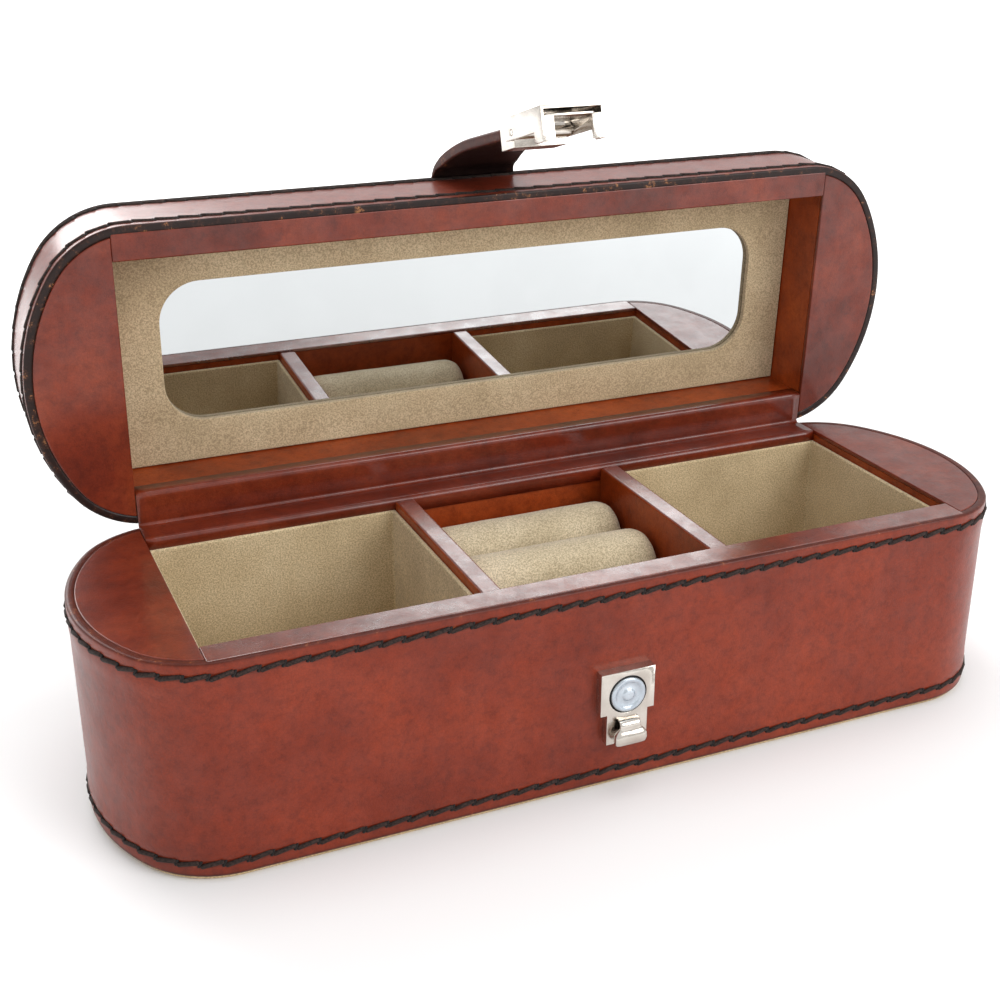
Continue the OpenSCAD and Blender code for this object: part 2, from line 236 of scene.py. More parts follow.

# %% [markdown]
# ### Glazed leather
# Tan bridle leather is dyed by hand, so its colour drifts in broad clouds with small darker
# marks. Its grain is fine cells a bit under a millimetre wide. The darkness attribute marks
# cut edges, which are inked and rubbed nearly black, with tan showing where they wear, and it
# also paints shade along the grooves that the stitches lie in. The glaze is a clear coat,
# thinner where hands have rubbed it and nearly gone on cut edges and in those grooves.

# %% Leather
def leather(name, deep, middle, light, gloss, cloud=26.0, coat_ior=1.5, coat_rough=0.18,
            patchy=0.3):
    """Leather dyed in three shades. Gloss is how much glaze it has, cloud how small its clouds
    of dye are, and patchy how unevenly the glaze has been rubbed away."""
    material, tree, shader, coords = new_finish(
        name, Specular_IOR_Level=0.15, Coat_Weight=gloss, Coat_Roughness=coat_rough,
        Coat_IOR=coat_ior)
    broad = clouds(tree, coords, cloud, 6.0, 0.62)
    small = clouds(tree, coords, 330.0, 5.0, 0.8)
    rubbed = clouds(tree, coords, 120.0, 4.0, 0.7)
    pores = clouds(tree, coords, 2600.0)
    colour = ramp(tree, broad, (0.25, deep), (0.5, middle), (0.78, light))
    speckle = ramp(tree, small, (0.36, (0.66, 0.6, 0.56, 1)), (0.5, (0.97, 0.96, 0.95, 1)),
                   (0.64, (1.16, 1.12, 1.08, 1)))
    colour = blend_colour(tree, 0.75, colour, speckle, "MULTIPLY")
    grain = add(tree, "ShaderNodeTexVoronoi", {"Vector": coords, "Scale": 1300.0},
                feature="DISTANCE_TO_EDGE")
    crease = remap(tree, grain.outputs["Distance"], 0.0, 0.12, 0.0, 1.0)
    colour = blend_colour(tree, remap(tree, crease, 0.0, 1.0, 0.16, 0.0), colour,
                          tuple(0.35 * c for c in deep[:3]) + (1,))
    # The attribute darkens cut edges with ink and paints shade in the stitch grooves.
    ink_and_shade = add(tree, "ShaderNodeAttribute", attribute_name="ink_and_shade").outputs["Fac"]
    ink = ramp(tree, small, (0.5, tint(34, 21, 18)), (0.6, tint(58, 34, 26)),
               (0.66, tint(150, 100, 62)))
    glaze = remap(tree, rubbed, 0.4, 0.6, gloss * (1 - patchy), gloss)
    fine = relief(tree, combine(tree, "ADD", crease, pores), 0.35, 0.04 * MM)
    join(tree, shader, Base_Color=blend_colour(tree, ink_and_shade, colour, ink),
         Roughness=remap(tree, broad, 0.3, 0.7, 0.34, 0.5),
         Coat_Weight=combine(tree, "MULTIPLY", glaze, remap(tree, ink_and_shade, 0, 1, 1.0, 0.12)),
         Normal=relief(tree, small, 0.4, 0.25 * MM, Normal=fine))
    return material


wall_leather = leather("wall_leather", tint(98, 30, 12), tint(124, 42, 17),
                       tint(146, 55, 25), 0.42)
lid_glaze = leather("lid_glaze", tint(104, 36, 20), tint(124, 46, 26), tint(138, 58, 36), 1.0,
                    coat_ior=1.75, coat_rough=0.25, patchy=0.2)
rim_leather = leather("rim_leather", tint(74, 22, 10), tint(110, 37, 16),
                      tint(140, 57, 28), 0.8, cloud=40.0)
polished_leather = leather("polished_leather", tint(88, 32, 18), tint(116, 44, 24),
                           tint(136, 60, 34), 1.0, cloud=70.0, coat_ior=2.45,
                           coat_rough=0.25, patchy=0.35)
well_leather = leather("well_leather", tint(112, 40, 12), tint(150, 62, 22),
                       tint(176, 82, 34), 0.35, cloud=50.0)
strap_leather = leather("strap_leather", tint(22, 14, 14), tint(32, 21, 20),
                        tint(46, 31, 28), 0.1, cloud=60.0)
print("leathers:", wall_leather.name, rim_leather.name, well_leather.name)

# %% [markdown]
# ### Suede
# Suede has no gloss: its nap scatters light, brightest at a glancing angle, so it takes the
# shader's sheen. Strokes in the nap leave faint lighter and darker patches, and fine fibres
# make it speckled.

# %% Suede and boards
def suede(name, dark, middle, light):
    """Suede in three shades, as its nap lies this way or that."""
    material, tree, shader, coords = new_finish(
        name, Roughness=0.95, Specular_IOR_Level=0.15, Sheen_Weight=0.25,
        Sheen_Roughness=0.5)
    strokes = clouds(tree, coords, 34.0, 5.0, 0.6)
    fibre = clouds(tree, coords, 2300.0, 2.0, 0.8)
    colour = ramp(tree, strokes, (0.3, dark), (0.5, middle), (0.7, light))
    speckle = ramp(tree, fibre, (0.4, (0.62, 0.6, 0.56, 1)), (0.5, (0.95, 0.95, 0.94, 1)),
                   (0.6, (1.25, 1.25, 1.25, 1)))
    join(tree, shader, Base_Color=blend_colour(tree, 0.8, colour, speckle, "MULTIPLY"),
         Normal=relief(tree, fibre, 0.6, 0.15 * MM))
    return material


# The lining's shades are painted lighter, to stand in for light that falls short inside the
# trays.
lining_suede = suede("lining_suede", tint(180, 160, 125), tint(202, 182, 146),
                     tint(216, 198, 164))
roll_suede = suede("roll_suede", tint(186, 170, 140), tint(202, 187, 158),
                   tint(214, 200, 174))
frame_suede = suede("frame_suede", tint(168, 150, 118), tint(186, 166, 134),
                    tint(200, 182, 150))
sole_suede = suede("sole_suede", tint(176, 150, 110), tint(198, 172, 132),
                   tint(214, 190, 150))


def matt(name, scale, detail, low, high, low_at, high_at, bump, **sockets):
    """A dull finish: two shades mixed by a noise, and the same noise as a bump."""
    material, tree, shader, coords = new_finish(name, **sockets)
    spread = clouds(tree, coords, scale, detail)
    join(tree, shader, Base_Color=ramp(tree, spread, (low_at, low), (high_at, high)))
    if bump:
        join(tree, shader, Normal=relief(tree, spread, bump, 0.1 * MM))
    return material


board_finish = matt("grey_board", 500.0, 5.0, tint(150, 128, 98), tint(184, 162, 128),
                    0.35, 0.65, 0.4, Roughness=0.9)
print("suedes and board ready")

# %% [markdown]
# ### Metal, mirror and thread
# The lock and clasp are bright nickel plate: a smooth metal with fine rubbing marks that are
# much longer than wide. The rivet is duller zinc. The mirror is a metal too, almost without
# roughness. Thread is waxed and dark, with a twist in its bump.

# %% Metal
def metal(name, low, high, rough_low, rough_high):
    """Plated metal between two shades, with rubbing marks that lie along its length."""
    material, tree, shader, coords = new_finish(name, Metallic=1.0)
    shaped = add(tree, "ShaderNodeMapping", {"Vector": coords, "Scale": (1, 1, 6)})
    marks = clouds(tree, shaped.outputs["Vector"], 900.0, 5.0)
    join(tree, shader, Base_Color=ramp(tree, clouds(tree, coords, 160.0, 4.0),
                                       (0.3, low), (0.7, high)),
         Roughness=remap(tree, marks, 0.3, 0.7, rough_low, rough_high),
         Normal=relief(tree, marks, 0.15, 0.02 * MM))
    return material


nickel = metal("nickel_plate", tint(188, 180, 170), tint(218, 211, 203), 0.12, 0.26)
zinc = metal("zinc_rivet", tint(176, 186, 196), tint(206, 214, 222), 0.24, 0.4)
mirror_glass, tree, shader, coords = new_finish("mirror_glass", Metallic=1.0)
spots = clouds(tree, coords, 60.0, 3.0)
join(tree, shader, Roughness=remap(tree, spots, 0.3, 0.7, 0.01, 0.016),
     Base_Color=ramp(tree, spots, (0.4, tint(206, 209, 210)), (0.6, tint(208, 211, 212))))
waxed_thread = matt("waxed_thread", 2200.0, 3.0, tint(24, 17, 15), tint(60, 46, 41),
                    0.35, 0.65, 0.7, Roughness=0.75, Specular_IOR_Level=0.25)
# Painted shade: the dark of the awl holes and of the gap round the rivet.
hole_shade = matt("hole_shade", 900.0, 2.0, tint(12, 9, 8), tint(28, 19, 16),
                0.3, 0.7, 0, Roughness=0.85)
print("metals, mirror and thread ready")

# %% [markdown]
# ## Mesh helpers
# The case has one outline, a rectangle whose ends are wide curves that run into tighter
# corners. Nearly every piece is that outline at some inset, so one function walks round it and
# gives each point with its outward direction and its distance travelled.

# %% The outline walker
CROWN_X = HALF_L - CROWN_R
CORNER_Y = HALF_W - CORNER_R
CORNER_X = CROWN_X + math.sqrt((CROWN_R - CORNER_R) ** 2 - CORNER_Y ** 2)
CROWN_ANGLE = math.atan2(CORNER_Y, CORNER_X - CROWN_X)


def outline(step=1.6 * MM, straight_step=3.0 * MM):
    """Points round the case from its right-hand end, as (place, outward, distance)."""
    half = math.pi / 2
    parts = []
    for turn, side in ((0, 1), (math.pi, -1)):
        parts.append(("arc", (side * CORNER_X, -side * CORNER_Y), CORNER_R,
                      turn - half, turn - CROWN_ANGLE))
        parts.append(("arc", (side * CROWN_X, 0), CROWN_R,
                      turn - CROWN_ANGLE, turn + CROWN_ANGLE))
        parts.append(("arc", (side * CORNER_X, side * CORNER_Y), CORNER_R,
                      turn + CROWN_ANGLE, turn + half))
        parts.append(("line", (side * CORNER_X, side * HALF_W),
                      (-side * CORNER_X, side * HALF_W), turn + half, None))
    points, travelled = [], 0.0
    for kind, start, size, first, last in parts:
        if kind == "arc":
            length = size * (last - first)
            count = max(2, round(length / step))
            for i in range(count):
                angle = first + (last - first) * i / count
                out = Vector((math.cos(angle), math.sin(angle), 0))
                points.append((Vector((*start, 0)) + out * size, out,
                               travelled + length * i / count))
        else:
            a, b = Vector((*start, 0)), Vector((*size, 0))
            length = (b - a).length
            count = max(2, round(length / straight_step))
            out = Vector((math.cos(first), math.sin(first), 0))
            for i in range(count):
                points.append((a.lerp(b, i / count), out, travelled + length * i / count))
        travelled += length
    return points, travelled


outline_points, outline_length = outline()
print(f"outline: {len(outline_points)} points, {outline_length / MM:.1f} mm round")

# %% Pieces from vertices and faces
def new_piece(name, vertices, faces, material, ink_and_shade_levels=None):
    """A mesh piece. The optional list darkens vertices: ink on cut edges, painted shade in
    grooves.
    """
    mesh = bpy.data.meshes.new(name)
    mesh.from_pydata([tuple(v) for v in vertices], [], faces)
    if ink_and_shade_levels is not None:
        mesh.attributes.new("ink_and_shade", "FLOAT", "POINT").data.foreach_set("value", ink_and_shade_levels)
    work = bmesh.new()
    work.from_mesh(mesh)
    bmesh.ops.remove_doubles(work, verts=work.verts, dist=0.002 * MM)
    bmesh.ops.recalc_face_normals(work, faces=work.faces)
    work.to_mesh(mesh)
    work.free()
    mesh.materials.append(material)
    for face in mesh.polygons:
        face.use_smooth = True
    return linked(name, mesh)


def ring_faces(rings, around, capped=True):
    """Faces between rings of points, one after another, with a flat face at each end."""
    faces = [(i * around + j, i * around + (j + 1) % around,
              (i + 1) * around + (j + 1) % around, (i + 1) * around + j)
             for i in range(rings - 1) for j in range(around)]
    if capped:
        faces += [tuple(range(around)), tuple(range((rings - 1) * around, rings * around))]
    return faces


def linked(name, mesh):
    """A piece that shows a mesh or a curve."""
    piece = bpy.data.objects.new(name, mesh)
    scene.collection.objects.link(piece)
    return piece


def round_edges(piece, width, segments=3, angle=35):
    """Rounds the sharp edges of a piece, and shades it smooth between them."""
    bevel = piece.modifiers.new("rounded", "BEVEL")
    bevel.width, bevel.segments = width, segments
    bevel.limit_method, bevel.angle_limit = "ANGLE", math.radians(angle)
    bevel.use_clamp_overlap = True
    bevel.harden_normals = True
    bake_modifiers(piece)
    return piece


def bake_modifiers(piece):
    """Turns what the modifiers make into the piece's own mesh."""
    ready = piece.evaluated_get(bpy.context.evaluated_depsgraph_get())
    mesh = bpy.data.meshes.new_from_object(ready)
    old = piece.data
    piece.modifiers.clear()
    piece.data = mesh
    bpy.data.meshes.remove(old)
    mesh.name = piece.name


def place(piece, body, slot, *nodes, turn=None):
    """Puts a finished piece on its body, in place of its nodes."""
    if turn is not None:
        piece.data.transform(turn)
    if nodes:
        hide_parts(*nodes)
    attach(piece, body)
    return piece


def box_piece(name, low, high, material):
    """A box between two corners."""
    vertices = [(x, y, z) for x in (low[0], high[0]) for y in (low[1], high[1])
                for z in (low[2], high[2])]
    faces = [(0, 1, 3, 2), (4, 6, 7, 5), (0, 4, 5, 1), (2, 3, 7, 6), (0, 2, 6, 4), (1, 5, 7, 3)]
    return new_piece(name, vertices, faces, material)

# %% [markdown]
# ## The outer walls
# Each wall is one long band of leather, stitched near both edges and joined round the carcass.
# A band is a profile carried round the outline. The profile is drawn once: the stitched edges
# of the base stand a little proud of its middle, with a shallow groove for the thread that is
# painted darker as shade, and the cut edge on the rim is rounded and burnished.

# %% Wall profiles
EDGE_H = 8 * MM
GROOVE = 0.3 * MM


def wall_profile(foot, top, rows, proud, ink_and_shade_strength, cut_low):
    """(out, height, darkness) round a wall's section, from its outer foot. Darkness is ink on
    the cut edges and painted shade in the stitch grooves. The stitched edges stand proud of its
    middle, the argument before cut_low scales that darkness, and cut_low turns the section
    so that its rim is at its foot."""
    groove = GROOVE if proud else GROOVE / 3

    def row(z):
        """The shallow groove that a row of stitches lies in, painted darker along it as shade.
        """
        return [(0, z - 1.1 * MM, 0), (-0.6 * groove, z - 0.55 * MM, 0.5),
                (-groove, z, 0.9), (-0.6 * groove, z + 0.55 * MM, 0.5), (0, z + 1.1 * MM, 0)]

    low, high = foot + EDGE_H, top - EDGE_H
    rise = [(0, -1.8), (-0.12, -1.1), (-0.5, -0.1), (-0.88, 0.9), (-1, 1.8)]
    section = [(-0.5 * MM, foot, 1), (-0.12 * MM, foot + 0.1 * MM, 1),
               (0, foot + 0.5 * MM, 0.9), (0, foot + 1.0 * MM, 0.1)]
    section += row(rows[0])
    if proud:
        section += [(o * proud, low + z * MM, 0) for o, z in rise]
        section += [(-proud, low + (high - low) * i / 6, 0) for i in range(2, 5)]
        section += [(o * proud, high - z * MM, 0) for o, z in reversed(rise)]
    else:
        section += [(0, (foot + top) / 2 + z * MM, 0) for z in (-4, -1.3, 1.3, 4)]
    section += row(rows[1])
    section += [(0, top - 1.0 * MM, 0), (0, top - 0.55 * MM, 0.35),
                (-0.12 * MM, top - 0.25 * MM, 1), (-0.4 * MM, top - 0.08 * MM, 1),
                (-0.9 * MM, top - 0.04 * MM, 1), (-1.6 * MM, top - 0.05 * MM, 1),
                (-WALL_T + 0.1 * MM, top - 0.12 * MM, 1), (-WALL_T, top - 0.4 * MM, 1),
                (-WALL_T, foot, 1)]
    if cut_low:
        section = [(o, foot + top - z, b) for o, z, b in reversed(section)]
    return [(o, z, b * ink_and_shade_strength) for o, z, b in section]


def wall_band(name, section, notch, material):
    """A closed band: the section carried round the outline. The notch lowers the section's
    rim edge at the back, where the hinge leather crosses it."""
    rings, shades = [], []
    for point, out, _ in outline_points:
        back = point.y > 0.8 * HALF_W and abs(point.x) < WELL_X
        for o, z, b in section:
            rings.append(point + out * o + Vector((0, 0, notch(z) if back else z)))
            shades.append(b)
    n, m = len(outline_points), len(section)
    faces = [((i * m + j), (i * m + (j + 1) % m), (((i + 1) % n) * m + (j + 1) % m),
              (((i + 1) % n) * m + j)) for i in range(n) for j in range(m)]
    return new_piece(name, rings, faces, material, ink_and_shade_levels=shades)

# %% The two walls
BASE_ROWS = (4.7 * MM, RIM_Z - 3.4 * MM)
LID_FOOT = LID_TOP - 1.6 * MM
LID_ROWS = (LID_RIM + 3.0 * MM, LID_FOOT - 1.9 * MM)
base_section = wall_profile(WALL_FOOT, RIM_Z, BASE_ROWS, 0.2 * MM, 0.6, False)
base_wall = wall_band("base_wall_leather", base_section,
                      lambda z: min(z, RIM_Z - RIM_T), wall_leather)
place(base_wall, "base", "tan_leather", "base_wall")
lid_section = wall_profile(LID_RIM, LID_FOOT,
                           (LID_RIM + LID_FOOT - LID_ROWS[1], LID_RIM + LID_FOOT - LID_ROWS[0]),
                           0, 1, True)
lid_wall = wall_band("lid_wall_leather", lid_section,
                     lambda z: max(z, LID_RIM + RIM_T), lid_glaze)
place(lid_wall, "lid", "tan_leather", "lid_wall", turn=opened)
print("walls:", len(base_wall.data.polygons), "and", len(lid_wall.data.polygons), "faces")

# %% [markdown]
# ## Rim leathers
# The top of each carcass is covered by flat leathers: a D at each end and a strip along the
# front. Each is cut from the same outline, then its edges are rounded. The strip is glossy from
# handling.

# %% Ends and strips
def end_leather(name, side, z):
    """The D of leather at one end, cut straight beside the well."""
    inner = [point - out * WALL_T for point, out, _ in outline_points]
    rim = [p for p in inner if side * p.x > WELL_X + 1.0 * MM]
    start = max(range(len(rim)), key=lambda i: (rim[i] - rim[i - 1]).length)
    rim = rim[start:] + rim[:start]
    half_y = math.sqrt(max((CORNER_R - WALL_T) ** 2 - (WELL_X - CORNER_X) ** 2, 0)) + CORNER_Y
    rim = ([Vector((side * WELL_X, -side * half_y, 0))] + rim
           + [Vector((side * WELL_X, side * half_y, 0))])
    vertices = [Vector((p.x, p.y, level)) for level in (z, z + RIM_T) for p in rim]
    piece = new_piece(name, vertices, ring_faces(2, len(rim)), rim_leather)
    return round_edges(piece, 0.35 * MM, 3, 60)


def strip(name, low_z, high_z, cover, material):
    """A strip along the front that covers part of the wall's cut edge."""
    y0, y1 = -HALF_W + WALL_T - cover, -WELL_Y
    piece = box_piece(name, (-WELL_X, y0, low_z), (WELL_X, y1, high_z), material)
    return round_edges(piece, 0.4 * MM)


for side, label in ((-1, "left"), (1, "right")):
    place(end_leather(f"base_{label}_end", side, RIM_Z - RIM_T), "base", "inner_leather",
          f"{label}_end_leather")
    place(end_leather(f"lid_{label}_end", side, LID_RIM), "lid", "inner_leather",
          f"lid_{label}_leather", turn=opened)
place(strip("front_rim", RIM_Z - RIM_T, RIM_Z + 0.06 * MM, 1.1 * MM, polished_leather),
      "base", "inner_leather", "front_rim_leather")
place(strip("lid_front_rim", LID_RIM - 0.05 * MM, LID_RIM + RIM_T, 0.4 * MM, rim_leather),
      "lid", "inner_leather", "lid_rim_leather", turn=opened)
print("four ends and two strips")

# %% [markdown]
# ## Hinge leather
# One strip of leather runs from the well's back edge over the rim, through the crease and over
# the lid's rim into the recess. It is one piece, shaped to follow the base before the crease and
# the open lid after it.

# %% Hinge strip
STRIP_T = 1.0 * MM


def shut_to_open(y, z):
    """A place on the shut lid, turned open with it."""
    return opened @ Vector((0, y, z))


def hinge_path():
    """The strip's upper face from the well to the recess, as (y, z), with the lid open."""
    back, rim, gap = WELL_Y, RIM_Z, 0.07 * MM
    low, high = hinge.z - gap, hinge.z + gap
    base = [(back - 0.5 * MM, rim - 4.4 * MM), (back - 0.5 * MM, rim - 1.0 * MM),
            (back - 0.3 * MM, rim - 0.35 * MM), (back + 0.3 * MM, low)]
    base += [(back + (hinge.y - 1.4 * MM - back) * i / 5, low) for i in range(1, 6)]
    base += [(hinge.y - 0.8 * MM, low - 0.1 * MM), (hinge.y - 0.35 * MM, low - 0.12 * MM)]
    lid = [(hinge.y - 0.35 * MM, high + 0.12 * MM), (hinge.y - 0.8 * MM, high + 0.1 * MM)]
    lid += [(back + (hinge.y - 1.4 * MM - back) * i / 5, high) for i in range(5, 0, -1)]
    lid += [(back + 0.3 * MM, high), (back - 0.3 * MM, high + 0.35 * MM),
            (back - 0.5 * MM, high + 1.0 * MM), (back - 0.5 * MM, high + 4.4 * MM)]
    return [Vector((0, y, z)) for y, z in base] + [shut_to_open(y, z) for y, z in lid]


def thick_section(path, thickness):
    """A closed loop: the path, and the path again set back by the thickness."""
    back = []
    for i, point in enumerate(path):
        along = (path[min(i + 1, len(path) - 1)] - path[max(i - 1, 0)]).normalized()
        back.append(point + Vector((0, along.z, -along.y)) * thickness)
    return path + back[::-1]


def extruded(name, section, x_values, material):
    """A section carried along X, with flat ends."""
    vertices = [Vector((x, p.y, p.z)) for x in x_values for p in section]
    return new_piece(name, vertices, ring_faces(len(x_values), len(section)), material)


hinge_section = thick_section(hinge_path(), STRIP_T)
hinge_xs = [-WELL_X + 0.2 * MM + (2 * WELL_X - 0.4 * MM) * i / 70 for i in range(71)]
hinge_strip = extruded("hinge_strip", hinge_section, hinge_xs, rim_leather)
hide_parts("base_hinge_leather", "lid_hinge_leather")
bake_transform(hinge_strip)
print("hinge strip:", len(hinge_strip.data.polygons), "faces")

# %% [markdown]
# ## Lid top and sole
# The lid's top is one leather panel, very slightly crowned, with an inked edge that stands over
# the wall. The base stands on a suede sole.

# %% Panels
def panel(name, profile, material):
    """Rings of the outline at (inset, height, burnish), closed by a flat face each end."""
    vertices, shades = [], []
    for inset, z, ink in profile:
        for point, out, _ in outline_points:
            vertices.append(point - out * inset + Vector((0, 0, z)))
            shades.append(ink)
    faces = ring_faces(len(profile), len(outline_points))
    return new_piece(name, vertices, faces, material, ink_and_shade_levels=shades)


lid_top = panel("lid_top_panel", [
    (1.0 * MM, LID_FOOT + 0.05 * MM, 1), (0.25 * MM, LID_FOOT + 0.08 * MM, 1),
    (0, LID_FOOT + 0.35 * MM, 1), (0, LID_TOP - 0.5 * MM, 1), (0.2 * MM, LID_TOP - 0.15 * MM, 1),
    (0.7 * MM, LID_TOP, 0.8), (1.6 * MM, LID_TOP + 0.05 * MM, 0.1),
    (6 * MM, LID_TOP + 0.15 * MM, 0), (12 * MM, LID_TOP + 0.25 * MM, 0),
    (20 * MM, LID_TOP + 0.3 * MM, 0)], wall_leather)
place(lid_top, "lid", "tan_leather", "lid_top_leather", turn=opened)
sole = panel("suede_sole", [
    (1.4 * MM, 0, 0), (1.0 * MM, 0.12 * MM, 0), (0.8 * MM, 0.5 * MM, 0),
    (0.8 * MM, WALL_FOOT - 0.02 * MM, 0)], sole_suede)
place(sole, "base", "suede", "base_sole")
print("panels done")

# %% [markdown]
# ## Trays, dividers and the mirror's frame
# Suede is glued over card, so every edge of a tray is soft. The dividers are boards with
# leather folded over their tops. The frame that holds the mirror is suede on board too, with a
# rounded window cut in it.

# %% Trays and dividers
LINING_T = 1.2 * MM


def tray(name, node):
    """An open suede box in the place of a lining."""
    low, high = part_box(node)
    loops = [(0, low.z), (0, high.z), (LINING_T, high.z), (LINING_T, low.z + LINING_T)]
    vertices = [(x, y, z) for inset, z in loops for x, y in (
        (low.x + inset, low.y + inset), (high.x - inset, low.y + inset),
        (high.x - inset, high.y - inset), (low.x + inset, high.y - inset))]
    piece = new_piece(name, vertices, ring_faces(len(loops), 4), lining_suede)
    return round_edges(piece, 0.55 * MM, 4)


for label in ("left", "right"):
    place(tray(f"{label}_tray", f"{label}_lining"), "base", "suede", f"{label}_lining")
    box = box_piece(f"{label}_divider", *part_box(f"{label}_divider_leather"), well_leather)
    divider = round_edges(box, 0.7 * MM, 4)
    divider.data.materials.append(polished_leather)
    for face in divider.data.polygons:
        if face.normal.z > 0.8:
            face.material_index = 1
    place(divider, "base", "inner_leather", f"{label}_divider_leather",
          f"{label}_divider_board")

# %% Mirror frame
WINDOW_L, WINDOW_W, WINDOW_R = 177 * MM, 38.4 * MM, 11 * MM
FRAME_T = 1.8 * MM
LID_BOARD_Z = LID_TOP - 3.4 * MM
FRAME_Z = LID_BOARD_Z - 1.5 * MM - FRAME_T


def window_loop(count=12):
    """The window's edge, with a round corner of count steps at each corner."""
    points = []
    for side, face, first in ((1, 1, 0), (-1, 1, 90), (-1, -1, 180), (1, -1, 270)):
        centre = Vector((side * (WINDOW_L / 2 - WINDOW_R), face * (WINDOW_W / 2 - WINDOW_R)))
        for i in range(count + 1):
            angle = math.radians(first + 90 * i / count)
            points.append(centre + WINDOW_R * Vector((math.cos(angle), math.sin(angle))))
    return points


def framed_window(name):
    """A flat frame with the window cut in it."""
    x, y = WELL_X - 0.2 * MM, WELL_Y - 0.2 * MM
    work = bmesh.new()
    for loop in ([Vector(p) for p in ((-x, -y), (x, -y), (x, y), (-x, y))], window_loop()):
        corners = [work.verts.new((p.x, p.y, FRAME_Z)) for p in loop]
        for i, corner in enumerate(corners):
            work.edges.new((corner, corners[(i + 1) % len(corners)]))
    bmesh.ops.triangle_fill(work, use_beauty=True, edges=work.edges[:])
    raised = bmesh.ops.extrude_face_region(work, geom=work.faces[:])["geom"]
    bmesh.ops.translate(work, vec=(0, 0, FRAME_T),
                        verts=[v for v in raised if isinstance(v, bmesh.types.BMVert)])
    bmesh.ops.recalc_face_normals(work, faces=work.faces)
    mesh = bpy.data.meshes.new(name)
    work.to_mesh(mesh)
    work.free()
    mesh.materials.append(frame_suede)
    for face in mesh.polygons:
        face.use_smooth = True
    return round_edges(linked(name, mesh), 0.4 * MM, 3)


place(framed_window("mirror_frame_suede"), "lid", "suede", "mirror_frame", turn=opened)
print("trays, dividers and mirror frame done")

# %% [markdown]
# ## Ring rolls
# Each roll is a suede tube stuffed tight. A slightly slim tube is blown up as cloth, so its
# ends pucker and its sides swell as stuffing makes them. The three are the same sewn shape.

# %% Stuffing
ROLL_R, ROLL_L, ROLL_END = 9.55 * MM, 55.2 * MM, 4.2 * MM
ROLL_PITCH = 20.4 * MM


def slim_roll(name, centre):
    """A tube along X with rounded ends."""
    steps, around = [], 28
    for i in range(7):
        angle = math.radians(90 * i / 6)
        steps.append((-ROLL_L / 2 + ROLL_END * (1 - math.sin(angle)),
                      ROLL_R - ROLL_END * (1 - math.cos(angle))))
    steps = sorted(steps)
    steps += [(-ROLL_L / 2 + ROLL_END + (ROLL_L - 2 * ROLL_END) * i / 18, ROLL_R)
              for i in range(1, 18)]
    steps += [(-x, r) for x, r in sorted(steps[:7], reverse=True)]
    vertices = [centre + Vector((x, r * math.cos(2 * math.pi * k / around),
                                 r * math.sin(2 * math.pi * k / around)))
                for x, r in steps for k in range(around)]
    return new_piece(name, vertices, ring_faces(len(steps), around), roll_suede)


def stuff(piece, voxel, pressure, most):
    """Blows a piece up as cloth, lets no point move further than most, and smooths it."""
    remesh = piece.modifiers.new("even", "REMESH")
    remesh.mode, remesh.voxel_size = "VOXEL", voxel
    bake_modifiers(piece)
    rest = [v.co.copy() for v in piece.data.vertices]
    cloth = piece.modifiers.new("stuffing", "CLOTH")
    cloth.settings.use_pressure = True
    cloth.settings.uniform_pressure_force = pressure
    cloth.settings.effector_weights.gravity = 0
    cloth.settings.quality = 5
    for frame_number in range(1, 21):
        scene.frame_set(frame_number)
    bake_modifiers(piece)
    scene.frame_set(1)
    for vertex, start in zip(piece.data.vertices, rest):
        move = vertex.co - start
        if move.length > most:
            vertex.co = start + move * (most / move.length)
    smooth = piece.modifiers.new("smooth", "SUBSURF")
    smooth.levels = smooth.render_levels = 1
    bake_modifiers(piece)
    for face in piece.data.polygons:
        face.use_smooth = True


low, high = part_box("ring_roll_middle")
roll_centre = (low + high) / 2
form = slim_roll("roll_form", roll_centre)
stuff(form, 2.2 * MM, 4.0, 0.45 * MM)
for label in ("front", "middle", "back"):
    low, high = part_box(f"ring_roll_{label}")
    shift = (low + high) / 2 - roll_centre
    mesh = form.data.copy()
    for vertex in mesh.vertices:
        swell = noise.noise((vertex.co + shift * 3) * 90)
        from_middle = vertex.co - Vector((vertex.co.x, roll_centre.y, roll_centre.z))
        vertex.co += shift + from_middle * (0.012 * swell)
    roll = linked(f"{label}_roll", mesh)
    if not mesh.materials:
        mesh.materials.append(roll_suede)
    place(roll, "base", "suede", f"ring_roll_{label}")
bpy.data.objects.remove(form)
print("rolls:", len(mesh.polygons), "faces each")

# %% Roll bed
def roll_bed():
    """The padded floor under the rolls, which rises a little between them."""
    low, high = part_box("ring_roll_bed")
    xs, ys = 12, 60
    vertices = []
    for i in range(xs + 1):
        x = low.x + (high.x - low.x) * i / xs
        for j in range(ys + 1):
            y = low.y + (high.y - low.y) * j / ys
            ridge = abs(math.sin(math.pi * y / ROLL_PITCH)) ** 6
            vertices.append((x, y, high.z + 2.0 * MM * ridge))
    n = ys + 1
    faces = [(i * n + j, (i + 1) * n + j, (i + 1) * n + j + 1, i * n + j + 1)
             for i in range(xs) for j in range(ys)]
    top = len(vertices)
    rim = [i * n for i in range(xs + 1)] + [xs * n + j for j in range(1, n)]
    rim += [i * n + ys for i in range(xs - 1, -1, -1)] + [j for j in range(ys - 1, 0, -1)]
    vertices += [(vertices[k][0], vertices[k][1], low.z) for k in rim]
    count = len(rim)
    faces += [(rim[k], top + k, top + (k + 1) % count, rim[(k + 1) % count])
              for k in range(count)]
    faces.append(tuple(range(top, top + count)))
    return new_piece("roll_bed", vertices, faces, roll_suede)


bed = place(roll_bed(), "base", "suede", "ring_roll_bed")
print("roll bed:", len(bed.data.polygons), "faces")

# %% [markdown]
# ## Lock and clasp
# These are small folded and pressed metal parts. Their shapes in the frame are right, so each
# is a copy of its node with its flat faces made whole again and its edges eased.

